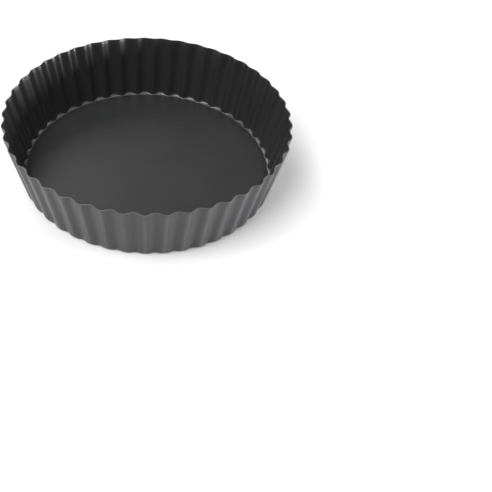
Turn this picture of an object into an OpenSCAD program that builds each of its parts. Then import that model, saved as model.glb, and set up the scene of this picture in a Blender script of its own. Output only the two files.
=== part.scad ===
// Loose-bottomed tart pan: a deep fluted ring with an inward base flange, and a flat disc that
// drops in from above and rests on that flange.
// Origin: centre of the pan, on the surface that it stands on. +Z is up.

/* [Ring] */
// Outside diameter at the rim, over the flutes
rim_d = 229; // [222:1:236]
// Outside diameter at the foot, over the flutes
foot_d = 204.4; // [202:0.1:208]
// Height of the ring
height = 52.4; // [40:0.1:60]
// Thickness of the ring's sheet
sheet = 0.8; // [0.6:0.1:1.2]
// Outside radius of the bend between wall and flange, at a flute's crest
crest_bend = 4; // [3:0.1:4.5]
// Outside radius of that bend at a valley
valley_bend = 2; // [1.6:0.1:2.5]
// Diameter of the opening inside the base flange
opening_d = 177.6; // [172:0.1:182]

/* [Flutes] */
// Number of flutes around the wall
flutes = 45; // [40:1:50]
// Depth of the flutes at the rim
rim_flute = 2.4; // [1.6:0.1:3]
// Depth of the flutes at the foot
foot_flute = 1.9; // [1.2:0.1:2.4]
// How much narrower the valleys are than the crests at the rim, from 0 for even waves
rim_pinch = 0.04; // [0:0.02:0.2]
// The same at the foot
foot_pinch = 0.16; // [0:0.02:0.2]
// How far the rim dips at the crests below its height at the valleys
rim_dip = 0.8; // [0:0.1:1.5]
// Turn of the first crest from +X, in degrees
first_flute = 4.6; // [0:0.1:8]

/* [Base] */
// Diameter of the loose base
base_d = 194; // [186:0.5:194]
// Thickness of the loose base
base_sheet = 0.8; // [0.7:0.1:1.2]
// Radius that the base's edge is rounded to
base_edge_r = 0.3; // [0.1:0.05:0.3]

/* [Hidden] */
// How smoothly round shapes are drawn
$fn = 144;
// Points along one flute
steps = 8;
// Angles around the ring at which its section is drawn
turns = [for (i = [0 : flutes * steps - 1]) first_flute + i * 360 / (flutes * steps)];
// Angle that the wall leans outwards by
flare = atan((rim_d - foot_d) / 2 / height);
// Horizontal thickness of the leaning wall
wall = sheet / cos(flare);

// Place in the flutes' wave at an angle: 0 and 360 are crests, 180 is a valley
function phase(turn) = flutes * (turn - first_flute);

// A size that changes evenly from the foot to the rim, at a height
function between(foot, rim, z) = foot + (rim - foot) * z / height;

// Depth of the wave below its crest, from 0 at a crest to 1 at a valley
function dip(turn, z) =
    let (pinch = between(foot_pinch, rim_pinch, z))
    (1 - cos(phase(turn)) - pinch * (1 - cos(2 * phase(turn)))) / 2;

// Outer radius of the wall at a height
function wall_r(turn, z) =
    between(foot_d, rim_d, z) / 2 - between(foot_flute, rim_flute, z) * dip(turn, z);

// Angle between the radius and the wall's horizontal normal
function skew(turn, z) =
    let (
        pinch = between(foot_pinch, rim_pinch, z),
        wave = sin(phase(turn)) - 2 * pinch * sin(2 * phase(turn))
    )
    atan(-between(foot_flute, rim_flute, z) / 2 * wave * flutes / wall_r(turn, z));

// Point at a height: on the wall's outer face at along, moved in by inset, square to the wall
function wall_point(turn, along, z, inset) =
    let (r = wall_r(turn, along), out = turn - skew(turn, along))
    [r * cos(turn) - inset * cos(out), r * sin(turn) - inset * sin(out), z];

// Point on the bend at the foot, inside its outer face by inset, at an angle below the horizontal
function bend_point(turn, inset, angle) =
    let (
        outer = crest_bend + (valley_bend - crest_bend) * dip(turn, 0),
        centre = outer * (1 - sin(flare)) / cos(flare),
        r = outer - inset
    )
    wall_point(turn, 0, outer - r * sin(angle), centre - r * cos(angle));

// Point on the opening's edge
function opening_point(turn, z) =
    [opening_d / 2 * cos(turn), opening_d / 2 * sin(turn), z];

// The ring's closed section at an angle, from the opening out, up the wall and back inside it
function section(turn) =
    let (top = height - rim_dip * (1 - dip(turn, height)), half_bend = (90 + flare) / 2)
    [
        opening_point(turn, 0),
        bend_point(turn, 0, 90),
        bend_point(turn, 0, half_bend),
        bend_point(turn, 0, flare),
        wall_point(turn, top, top, 0),
        wall_point(turn, top, top, wall),
        bend_point(turn, sheet, flare),
        bend_point(turn, sheet, half_bend),
        bend_point(turn, sheet, 90),
        opening_point(turn, sheet)
    ];

// A closed ring that joins a list of closed sections, each with the same number of points
module ring_of(sections) {
    n = len(sections);
    k = len(sections[0]);
    polyhedron(
        points = [for (s = sections) each s],
        faces = [
            for (i = [0 : n - 1], j = [0 : k - 1])
                let (a = i * k, b = (i + 1) % n * k, next = (j + 1) % k)
                each [[a + j, a + next, b + next], [a + j, b + next, b + j]]
        ]
    );
}

// The ring: a fluted wall and its inward flange, all of one sheet
module fluted_ring() {
    color([0.40, 0.40, 0.42])
        ring_of([for (turn = turns) section(turn)]);
}

// Half of the base's section: a flat plate with its edge rounded above and below
module base_section() {
    r = base_d / 2;
    union() {
        square([r - base_edge_r, base_sheet]);
        translate([0, base_edge_r])
            square([r, base_sheet - 2 * base_edge_r]);
        for (y = [base_edge_r, base_sheet - base_edge_r])
            translate([r - base_edge_r, y])
                circle(r = base_edge_r);
    }
}

// The loose base, lying on the flange
module base_disc() {
    color([0.26, 0.26, 0.26])
        translate([0, 0, sheet])
            rotate_extrude()
                base_section();
}

fluted_ring();
base_disc();
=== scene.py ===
"""Tart pan: a fluted ring with a base flange, and a loose flat base that lies on the flange."""

import math

import bpy
import numpy as np
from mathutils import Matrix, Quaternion, Vector


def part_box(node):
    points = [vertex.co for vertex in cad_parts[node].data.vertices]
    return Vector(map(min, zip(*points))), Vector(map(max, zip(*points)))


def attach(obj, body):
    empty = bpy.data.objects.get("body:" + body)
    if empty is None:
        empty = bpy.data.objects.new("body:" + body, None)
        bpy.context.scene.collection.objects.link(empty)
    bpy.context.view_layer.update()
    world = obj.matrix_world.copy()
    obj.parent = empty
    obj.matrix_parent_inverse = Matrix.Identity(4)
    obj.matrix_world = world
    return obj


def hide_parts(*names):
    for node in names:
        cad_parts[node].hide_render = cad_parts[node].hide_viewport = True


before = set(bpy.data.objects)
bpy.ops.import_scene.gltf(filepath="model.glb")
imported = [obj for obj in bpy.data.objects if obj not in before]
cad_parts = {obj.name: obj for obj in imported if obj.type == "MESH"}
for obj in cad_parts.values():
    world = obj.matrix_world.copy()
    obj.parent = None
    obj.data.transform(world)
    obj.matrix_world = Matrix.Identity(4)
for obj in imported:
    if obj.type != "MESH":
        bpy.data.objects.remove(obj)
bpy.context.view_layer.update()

MM = 0.001

# ---- sizes: heights and the base come from the frame, the rest are the CAD's driving dimensions
RING_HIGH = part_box("fluted_ring")[1]
BASE_LOW, BASE_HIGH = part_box("base_disc")
HEIGHT = RING_HIGH.z
SHEET = BASE_LOW.z
RIM_R = 114.5 * MM
FOOT_R = 102.2 * MM
OPENING_R = 88.8 * MM
CREST_BEND = 4.0 * MM
VALLEY_BEND = 2.0 * MM
FLUTES = 45
FIRST_FLUTE = math.radians(4.6)
RIM_FLUTE = 2.4 * MM
FOOT_FLUTE = 1.9 * MM
RIM_PINCH = 0.04
FOOT_PINCH = 0.16
RIM_DIP = 0.8 * MM
CUT_EDGE = 0.22 * MM
BASE_R = BASE_HIGH.x
BASE_EDGE = 0.3 * MM

FLARE = math.atan2(RIM_R - FOOT_R, HEIGHT)

# ---- how finely the meshes are cut
STEPS_PER_FLUTE = 24
WALL_ROWS = 12
ARC_ROWS = 6
FLANGE_ROWS = 4
LIP_ROWS = 4
BASE_AROUND = 256
BASE_RINGS = 24
BASE_CENTRE_SHARE = 1 / 8

# the inside mark of the lower half of the opening's cut edge, low enough to count as outside
LOW_EDGE_MARK = 0.3


# ---- the fluted sheet's shape

def phase(turn):
    """Place in the flutes' wave: 0 is a crest, pi is a valley."""
    return FLUTES * (turn - FIRST_FLUTE)


def between(foot, rim, z):
    """A size that changes evenly from the foot to the rim, at a height."""
    return foot + (rim - foot) * z / HEIGHT


def dip(turn, z):
    """Depth of the wave below its crest, from 0 at a crest to 1 at a valley."""
    p = phase(turn)
    return (1 - np.cos(p) - between(FOOT_PINCH, RIM_PINCH, z) * (1 - np.cos(2 * p))) / 2


def wall_point(turn, along, z, inset):
    """Points at height z: on the wall's outer face at along, moved in by inset, square to it."""
    depth = between(FOOT_FLUTE, RIM_FLUTE, along)
    r = between(FOOT_R, RIM_R, along) - depth * dip(turn, along)
    p = phase(turn)
    wave = np.sin(p) - 2 * between(FOOT_PINCH, RIM_PINCH, along) * np.sin(2 * p)
    out = turn - np.arctan(-depth / 2 * wave * FLUTES / r)
    x = r * np.cos(turn) - inset * np.cos(out)
    y = r * np.sin(turn) - inset * np.sin(out)
    return np.stack([x, y, np.broadcast_to(z, turn.shape)], axis=-1)


def bend_r(turn):
    """Outside radius of the bend between wall and flange."""
    return CREST_BEND + (VALLEY_BEND - CREST_BEND) * dip(turn, 0.0)


def bend_row(turn, inset, angle):
    """Points on that bend, inside its outer face by inset, at an angle below the horizontal."""
    outer = bend_r(turn)
    centre = outer * (1 - math.sin(FLARE)) / math.cos(FLARE)
    r = outer - inset
    return wall_point(turn, 0.0, outer - r * math.sin(angle), centre - r * math.cos(angle))


def around(count, first=0.0):
    """Evenly spaced angles, all the way round."""
    return first + 2 * math.pi * np.arange(count) / count


def circle_row(turn, radius, z):
    """Points on a level circle."""
    return np.stack(
        [radius * np.cos(turn), radius * np.sin(turn), np.full_like(turn, z)], axis=-1
    )


def ring_rows(turn):
    """The ring's section as rows of points with their marks.

    It goes out underneath, up the wall, over the rim, down inside and back in.
    """
    rows = []
    ridge = 1 - dip(turn, HEIGHT)

    def add(points, inside, edge=0.0, bend=0.0):
        rows.append((points, {"inside": inside, "edge": edge, "bend": bend, "ridge": ridge}))

    wall = SHEET / math.cos(FLARE)
    top = HEIGHT - RIM_DIP * (1 - dip(turn, HEIGHT))

    # the opening's cut edge, underneath
    for i in range(LIP_ROWS):
        a = math.pi / 2 * i / (LIP_ROWS - 1)
        r = OPENING_R + CUT_EDGE * (1 - math.cos(a))
        z = CUT_EDGE * (1 - math.sin(a))
        add(circle_row(turn, r, z), LOW_EDGE_MARK, 1 - i / LIP_ROWS)
    # the underside, which goes from round to scalloped
    start = circle_row(turn, OPENING_R + CUT_EDGE, 0.0)
    end = bend_row(turn, 0.0, math.pi / 2)
    for i in range(1, FLANGE_ROWS + 1):
        t = i / (FLANGE_ROWS + 1)
        add(start + (end - start) * t, 0.0)
    for i in range(ARC_ROWS + 1):
        angle = math.pi / 2 + (FLARE - math.pi / 2) * i / ARC_ROWS
        add(bend_row(turn, 0.0, angle), 0.0)
    # the outer wall
    low = bend_r(turn) * (1 - math.sin(FLARE))
    for i in range(1, WALL_ROWS + 1):
        z = low + (top - CUT_EDGE * math.cos(FLARE) - low) * i / WALL_ROWS
        add(wall_point(turn, z, z, 0.0), 0.0)
    # the rim's cut edge
    for i in range(1, LIP_ROWS + 1):
        a = math.pi / 2 * i / LIP_ROWS
        z = top - CUT_EDGE * (1 - math.sin(a))
        add(wall_point(turn, z, z, CUT_EDGE * (1 - math.cos(a))), 0.0, i / LIP_ROWS)
    for i in range(LIP_ROWS + 1):
        a = math.pi / 2 * i / LIP_ROWS
        z = top - CUT_EDGE * (1 - math.cos(a))
        inset = wall - CUT_EDGE * (1 - math.sin(a))
        add(wall_point(turn, z, z, inset), 1.0, 1 - i / LIP_ROWS)
    # the inner wall
    low_in = bend_r(turn) - (bend_r(turn) - SHEET) * math.sin(FLARE)
    for i in range(1, WALL_ROWS):
        z = top - CUT_EDGE + (low_in - top + CUT_EDGE) * i / WALL_ROWS
        add(wall_point(turn, z, z, wall), 1.0)
    for i in range(ARC_ROWS + 1):
        angle = FLARE + (math.pi / 2 - FLARE) * i / ARC_ROWS
        # the bend mark places the painted highlight on the inner bend
        add(bend_row(turn, SHEET, angle), 1.0, bend=math.sin(math.pi * i / ARC_ROWS))
    # the flange's top
    start = bend_row(turn, SHEET, math.pi / 2)
    end = circle_row(turn, OPENING_R + CUT_EDGE, SHEET)
    for i in range(1, FLANGE_ROWS + 1):
        t = i / (FLANGE_ROWS + 1)
        add(start + (end - start) * t, 1.0)
    # the opening's cut edge, on top
    for i in range(LIP_ROWS):
        a = math.pi / 2 * (1 - i / (LIP_ROWS - 1))
        r = OPENING_R + CUT_EDGE * (1 - math.cos(a))
        z = SHEET - CUT_EDGE * (1 - math.sin(a))
        add(circle_row(turn, r, z), 1.0, (i + 1) / LIP_ROWS)
    return rows


def mesh_from_rows(name, rows, closed):
    """A mesh between rows of points that each go all the way round.

    Closed joins the last row to the first; otherwise a flat face closes each end.
    """
    count = len(rows)
    across = len(rows[0][0])
    points = np.concatenate([row for row, _ in rows])
    faces = []
    for j in range(count if closed else count - 1):
        low, high = j * across, (j + 1) % count * across
        for i in range(across):
            k = (i + 1) % across
            faces.append((low + i, low + k, high + k, high + i))
    if not closed:
        last = (count - 1) * across
        faces.append(tuple(reversed(range(across))))
        faces.append(tuple(range(last, last + across)))
    mesh = bpy.data.meshes.new(name)
    mesh.from_pydata(points.tolist(), [], faces)
    for key in rows[0][1]:
        values = np.concatenate([np.broadcast_to(marks[key], across) for _, marks in rows])
        layer = mesh.attributes.new(key, "FLOAT", "POINT")
        layer.data.foreach_set("value", values.astype(np.float32))
    return mesh


def link(name, mesh, material):
    """An object of a mesh, smooth and with its material, in the scene."""
    mesh.materials.append(material)
    mesh.polygons.foreach_set("use_smooth", [True] * len(mesh.polygons))
    mesh.update()
    made = bpy.data.objects.new(name, mesh)
    bpy.context.scene.collection.objects.link(made)
    return made


def make_ring(material):
    turn = around(FLUTES * STEPS_PER_FLUTE, FIRST_FLUTE)
    mesh = mesh_from_rows("fluted_ring_sheet", ring_rows(turn), closed=True)
    ring = link("fluted_ring_sheet", mesh, material)
    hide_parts("fluted_ring")
    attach(ring, "ring")


# ---- the base

def base_rows(turn):
    """The base as rows of points with their marks: its underside, its edge, then its top."""
    low, high = BASE_LOW.z, BASE_HIGH.z
    flat_r = BASE_R - BASE_EDGE
    centre_r = flat_r / BASE_RINGS * BASE_CENTRE_SHARE
    radii = [centre_r + (flat_r - centre_r) * i / BASE_RINGS for i in range(BASE_RINGS + 1)]
    rows = []

    def add(r, z, inside, edge=0.0):
        marks = {"inside": inside, "edge": edge, "bend": 0.0, "ridge": 0.0}
        rows.append((circle_row(turn, r, z), marks))

    for r in radii:
        add(r, low, 0.0)
    for z, start in ((low + BASE_EDGE, -math.pi / 2), (high - BASE_EDGE, 0.0)):
        for i in range(1, ARC_ROWS + 1):
            a = start + math.pi / 2 * i / ARC_ROWS
            r = flat_r + BASE_EDGE * math.cos(a)
            add(r, z + BASE_EDGE * math.sin(a), 0.5 + 0.5 * math.sin(a), math.cos(a))
    for r in reversed(radii[:-1]):
        add(r, high, 1.0)
    return rows


def make_base(material):
    mesh = mesh_from_rows("base_disc_sheet", base_rows(around(BASE_AROUND)), closed=False)
    base = link("base_disc_sheet", mesh, material)
    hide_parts("base_disc")
    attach(base, "base")


# ---- materials

class Nodes:
    """A short way to write a material's nodes."""

    def __init__(self, name):
        self.material = bpy.data.materials.new(name)
        self.material.use_nodes = True
        self.tree = self.material.node_tree
        self.shader = self.tree.nodes["Principled BSDF"]

    def join(self, value, socket):
        """Gives a socket its value: a number, a colour, or another node's output."""
        if isinstance(value, bpy.types.NodeSocket):
            self.tree.links.new(value, socket)
        else:
            socket.default_value = value

    def set(self, node, key, value):
        self.join(value, node.inputs[key])

    def add(self, kind, values=None, **settings):
        node = self.tree.nodes.new(kind)
        for key, value in settings.items():
            setattr(node, key, value)
        for key, value in (values or {}).items():
            self.set(node, key, value)
        return node

    def attribute(self, name):
        return self.add("ShaderNodeAttribute", attribute_name=name).outputs["Fac"]

    def place(self):
        return self.add("ShaderNodeTexCoord").outputs["Object"]

    def drawn(self):
        """A place that changes quickly around the pan and slowly up it, for marks up the wall."""
        axes = self.add("ShaderNodeSeparateXYZ", {0: self.place()}).outputs
        level = self.add("ShaderNodeCombineXYZ", {0: axes[0], 1: axes[1]}).outputs[0]
        outward = self.add("ShaderNodeVectorMath", {0: level}, operation="NORMALIZE").outputs[0]
        on_foot = self.add(
            "ShaderNodeVectorMath", {"Vector": outward, "Scale": FOOT_R}, operation="SCALE"
        )
        up = self.add("ShaderNodeCombineXYZ", {2: self.math("MULTIPLY", axes[2], DRAWN_STRETCH)})
        return self.add(
            "ShaderNodeVectorMath", {0: on_foot.outputs[0], 1: up.outputs[0]}, operation="ADD"
        ).outputs[0]

    def dragged(self, turn):
        """A place that changes slowly along one level direction, for scuffs on a flat face."""
        values = {"Vector": self.place(), "Rotation": (0, 0, turn), "Scale": (SCUFF_STRETCH, 1, 1)}
        return self.add("ShaderNodeMapping", values).outputs["Vector"]

    def noise(self, size, vector=None, detail=2.0, rough=0.5):
        """Noise with lumps of about this size in metres."""
        values = {
            "Vector": vector or self.place(),
            "Scale": 1.0 / size,
            "Detail": detail,
            "Roughness": rough,
        }
        return self.add("ShaderNodeTexNoise", values).outputs["Fac"]

    def ramp(self, value, low, high, to_low=0.0, to_high=1.0):
        values = {0: value, 1: low, 2: high, 3: to_low, 4: to_high}
        return self.add("ShaderNodeMapRange", values, clamp=True).outputs["Result"]

    def spread(self, noise, amount, middle=0.0):
        """Noise as a number up to amount above and below the middle."""
        return self.ramp(noise, NOISE_LOW, NOISE_HIGH, middle - amount, middle + amount)

    def math(self, operation, a, b):
        return self.add("ShaderNodeMath", {0: a, 1: b}, operation=operation).outputs[0]

    def total(self, first, *others):
        for other in others:
            first = self.math("ADD", first, other)
        return first

    def mix(self, share, a, b):
        node = self.add("ShaderNodeMix", data_type="RGBA")
        sockets = {s.identifier: s for s in node.inputs}
        for key, value in (("Factor_Float", share), ("A_Color", a), ("B_Color", b)):
            self.join(value, sockets[key])
        return next(s for s in node.outputs if s.identifier == "Result_Color")

    def bump(self, height, strength, distance, under=None):
        values = {"Height": height, "Strength": strength, "Distance": distance}
        if under:
            values["Normal"] = under
        return self.add("ShaderNodeBump", values).outputs["Normal"]


def grey(value, tint=(1.0, 1.0, 1.0)):
    return (value * tint[0], value * tint[1], value * tint[2], 1.0)


# the coating's greys
OUTSIDE = grey(0.034, (0.97, 0.97, 1.05))
INSIDE = grey(0.016, (1.0, 1.03, 1.02))
BASE_TOP = grey(0.018, (0.98, 1.0, 1.0))
CUT = grey(0.09)
# the pale grey painted on the crests and the foot's bend as a painted highlight
PAINTED_HIGHLIGHT = grey(0.10)

# how matt it is
MATT_OUTSIDE = 0.42
MATT_INSIDE = 0.32
MATT_BASE_TOP = 0.45
# glossier where the highlight is painted
HIGHLIGHT_GLOSS = 0.12

# the sizes of its marks, and how far they are drawn out
CLOUDS = 30 * MM
GRAIN = 0.45 * MM
PEEL = 1.6 * MM
STREAKS = 0.8 * MM
DRAWN_STRETCH = 0.03
SCUFFS = 0.5 * MM
SCUFF_STRETCH = 0.03
NOISE_LOW, NOISE_HIGH = 0.3, 0.7

# how far each of them varies the shade and the mattness
CLOUD_SHADE = 0.05
GRAIN_SHADE = 0.14
STREAK_SHADE = 0.09
CLOUD_MATT = 0.03
GRAIN_MATT = 0.05
SCUFF_GLOSS = 0.5

# strength and depth of each one's relief
GRAIN_RELIEF = 0.35, 0.05 * MM
PEEL_RELIEF = 0.5, 0.06 * MM
STREAK_RELIEF = 0.3, 0.05 * MM

# where the marks on the mesh turn from outside to inside, and from coated to cut
INSIDE_FROM, INSIDE_TO = 0.35, 0.65
CUT_FROM, CUT_TO = 0.35, 0.9

# how near the top of a flute the painted highlight begins, and how the streaks break it up
CREST_FROM = 0.86
STREAK_HIGHLIGHT_FROM, STREAK_HIGHLIGHT_TO, LEAST_CREST_HIGHLIGHT = 0.35, 0.65, 0.1

# how the painted highlight on the bend at the foot follows the flutes, and how the clouds break it
# up
BEND_FROM, BEND_TO, LEAST_BEND_HIGHLIGHT = 0.1, 0.9, 0.15
CLOUD_HIGHLIGHT_FROM, CLOUD_HIGHLIGHT_TO, LEAST_CLOUD_HIGHLIGHT = 0.35, 0.6, 0.6

# turn of each set of scuffs, and the noise above which it shows
SCUFF_SETS = ((0.5, 0.62, 0.72), (-0.9, 0.64, 0.74))

# how strongly the painted highlight shows at crests and bends, from 0 to 1
CREST_HIGHLIGHT = 0.55
BEND_HIGHLIGHT = 0.8

# how much paler a scuff is than the base around it
SCUFF = 0.12


def painted_highlight_places(n, is_inside, clouds, streaks):
    """Where highlights are painted as a paler colour: crests outside, and the bend at the foot
    inside.
    """
    ridge = n.attribute("ridge")
    crest = n.ramp(ridge, CREST_FROM, 1.0)
    crest = n.math("MULTIPLY", crest, n.math("SUBTRACT", 1.0, is_inside))
    broken = n.ramp(streaks, STREAK_HIGHLIGHT_FROM, STREAK_HIGHLIGHT_TO, LEAST_CREST_HIGHLIGHT, CREST_HIGHLIGHT)
    crest = n.math("MULTIPLY", crest, broken)
    # the inner bend's painted highlight, strongest under the crests
    along = n.ramp(ridge, BEND_FROM, BEND_TO, LEAST_BEND_HIGHLIGHT, BEND_HIGHLIGHT)
    bend = n.math("MULTIPLY", n.attribute("bend"), along)
    patchy = n.ramp(clouds, CLOUD_HIGHLIGHT_FROM, CLOUD_HIGHLIGHT_TO, LEAST_CLOUD_HIGHLIGHT, 1.0)
    bend = n.math("MULTIPLY", bend, patchy)
    return n.math("MAXIMUM", crest, bend)


def scuffed_places(n, is_inside, amount):
    """Where an inside face is scuffed: 0 to amount, and up to twice that where two sets cross."""
    sets = [
        n.ramp(n.noise(SCUFFS, n.dragged(turn)), low, high) for turn, low, high in SCUFF_SETS
    ]
    return n.math("MULTIPLY", n.math("MULTIPLY", n.total(*sets), is_inside), amount)


def coated_steel(name, inside, matt_inside, scuff):
    """Baked-on coating: grain, orange peel, drawing marks, scuffs, highlights painted paler on the
    crests and the foot's bend, and paler cut edges.
    """
    n = Nodes(name)
    is_inside = n.ramp(n.attribute("inside"), INSIDE_FROM, INSIDE_TO)
    edge = n.ramp(n.attribute("edge"), CUT_FROM, CUT_TO)
    clouds = n.noise(CLOUDS, detail=3.0)
    grain = n.noise(GRAIN, rough=0.6)
    peel = n.noise(PEEL, detail=1.0)
    streaks = n.noise(STREAKS, n.drawn())
    highlight_share = painted_highlight_places(n, is_inside, clouds, streaks)
    scuffs = scuffed_places(n, is_inside, scuff)

    # the crests and the foot's bend are coloured paler: a painted highlight
    colour = n.mix(highlight_share, n.mix(is_inside, OUTSIDE, inside), PAINTED_HIGHLIGHT)
    shade = n.total(
        n.spread(clouds, CLOUD_SHADE, 1.0),
        n.spread(grain, GRAIN_SHADE),
        n.spread(streaks, STREAK_SHADE),
        scuffs,
    )
    varied = n.add("ShaderNodeHueSaturation", {"Color": colour, "Value": shade})
    n.set(n.shader, "Base Color", n.mix(edge, varied.outputs["Color"], CUT))

    matt = n.ramp(is_inside, 0.0, 1.0, MATT_OUTSIDE, matt_inside)
    matt = n.total(matt, n.spread(clouds, CLOUD_MATT), n.spread(grain, GRAIN_MATT))
    gloss = n.math(
        "ADD",
        n.math("MULTIPLY", highlight_share, HIGHLIGHT_GLOSS),
        n.math("MULTIPLY", scuffs, SCUFF_GLOSS),
    )
    n.set(n.shader, "Roughness", n.math("SUBTRACT", matt, gloss))

    relief = n.bump(grain, *GRAIN_RELIEF)
    relief = n.bump(peel, *PEEL_RELIEF, relief)
    relief = n.bump(streaks, *STREAK_RELIEF, relief)
    n.set(n.shader, "Normal", relief)
    return n.material


# ---- the stage

CAMERA_PLACE = Vector((0.0, -0.5509, 0.4696))
CAMERA_AIM = Vector((0.0747, -0.0918, 0.0))
CAMERA_ROLL = math.radians(7.16)
CAMERA_LENS = 62.8
CAMERA_SENSOR = 36.0
CAMERA_NEAR = 0.01

FLOOR_R = 0.7
FLOOR_AROUND = 128
FLOOR_PALE = 0.80
FLOOR_MATT = 0.9
FLOOR_SHINE = 0.1
AMBIENT = 0.25

# name, place, size and watts of each soft light, all aimed at the middle of the pan's foot
LIGHTS = (
    ("overhead", (0.0, -0.4, 2.0), (3.0, 2.4), 22.0),
    ("left", (-1.3, -0.05, 0.35), (0.7, 0.9), 8.0),
    ("front_left", (-0.6, -0.55, 1.2), (0.9, 0.9), 16.5),
    ("right", (1.25, -0.3, 0.12), (0.6, 0.16), 19.0),
    ("behind", (-0.6, 1.0, 0.9), (0.6, 0.6), 6.0),
    ("right_behind", (1.1, 0.5, 0.7), (0.5, 0.5), 2.5),
)


def make_camera():
    data = bpy.data.cameras.new("camera")
    data.lens = CAMERA_LENS
    data.sensor_width = CAMERA_SENSOR
    data.clip_start = CAMERA_NEAR
    camera = bpy.data.objects.new("camera", data)
    bpy.context.scene.collection.objects.link(camera)
    camera.location = CAMERA_PLACE
    level = (CAMERA_AIM - CAMERA_PLACE).to_track_quat("-Z", "Y")
    camera.rotation_mode = "QUATERNION"
    camera.rotation_quaternion = level @ Quaternion((0, 0, 1), CAMERA_ROLL)
    bpy.context.scene.camera = camera


def make_light(name, place, size, power):
    data = bpy.data.lights.new(name, "AREA")
    data.shape = "RECTANGLE"
    data.size, data.size_y = size
    data.energy = power
    lamp = bpy.data.objects.new(name, data)
    bpy.context.scene.collection.objects.link(lamp)
    lamp.location = place
    lamp.rotation_mode = "QUATERNION"
    lamp.rotation_quaternion = (-Vector(place)).to_track_quat("-Z", "Y")


def make_floor():
    """A pale round floor, wide enough to fill the camera's view."""
    n = Nodes("floor_paper")
    n.set(n.shader, "Base Color", grey(FLOOR_PALE))
    n.set(n.shader, "Roughness", FLOOR_MATT)
    n.set(n.shader, "Specular IOR Level", FLOOR_SHINE)
    rim = circle_row(around(FLOOR_AROUND), FLOOR_R, 0.0)
    mesh = bpy.data.meshes.new("floor")
    mesh.from_pydata(rim.tolist(), [], [tuple(range(FLOOR_AROUND))])
    link("floor", mesh, n.material)


def make_world():
    """Weak even light on the pan, and a white background behind it."""
    world = bpy.data.worlds.new("studio")
    bpy.context.scene.world = world
    world.use_nodes = True
    tree = world.node_tree
    back = tree.nodes["Background"]
    back.inputs["Color"].default_value = grey(1.0)
    seen = tree.nodes.new("ShaderNodeLightPath").outputs["Is Camera Ray"]
    level = tree.nodes.new("ShaderNodeMapRange")
    tree.links.new(seen, level.inputs["Value"])
    level.inputs["To Min"].default_value = AMBIENT
    level.inputs["To Max"].default_value = 1.0
    tree.links.new(level.outputs["Result"], back.inputs["Strength"])


def main():
    bpy.context.scene.view_settings.view_transform = "Standard"
    make_camera()
    make_world()
    make_floor()
    for light in LIGHTS:
        make_light(*light)
    make_ring(coated_steel("ring_coating", INSIDE, MATT_INSIDE, 0.0))
    make_base(coated_steel("base_coating", BASE_TOP, MATT_BASE_TOP, SCUFF))


main()
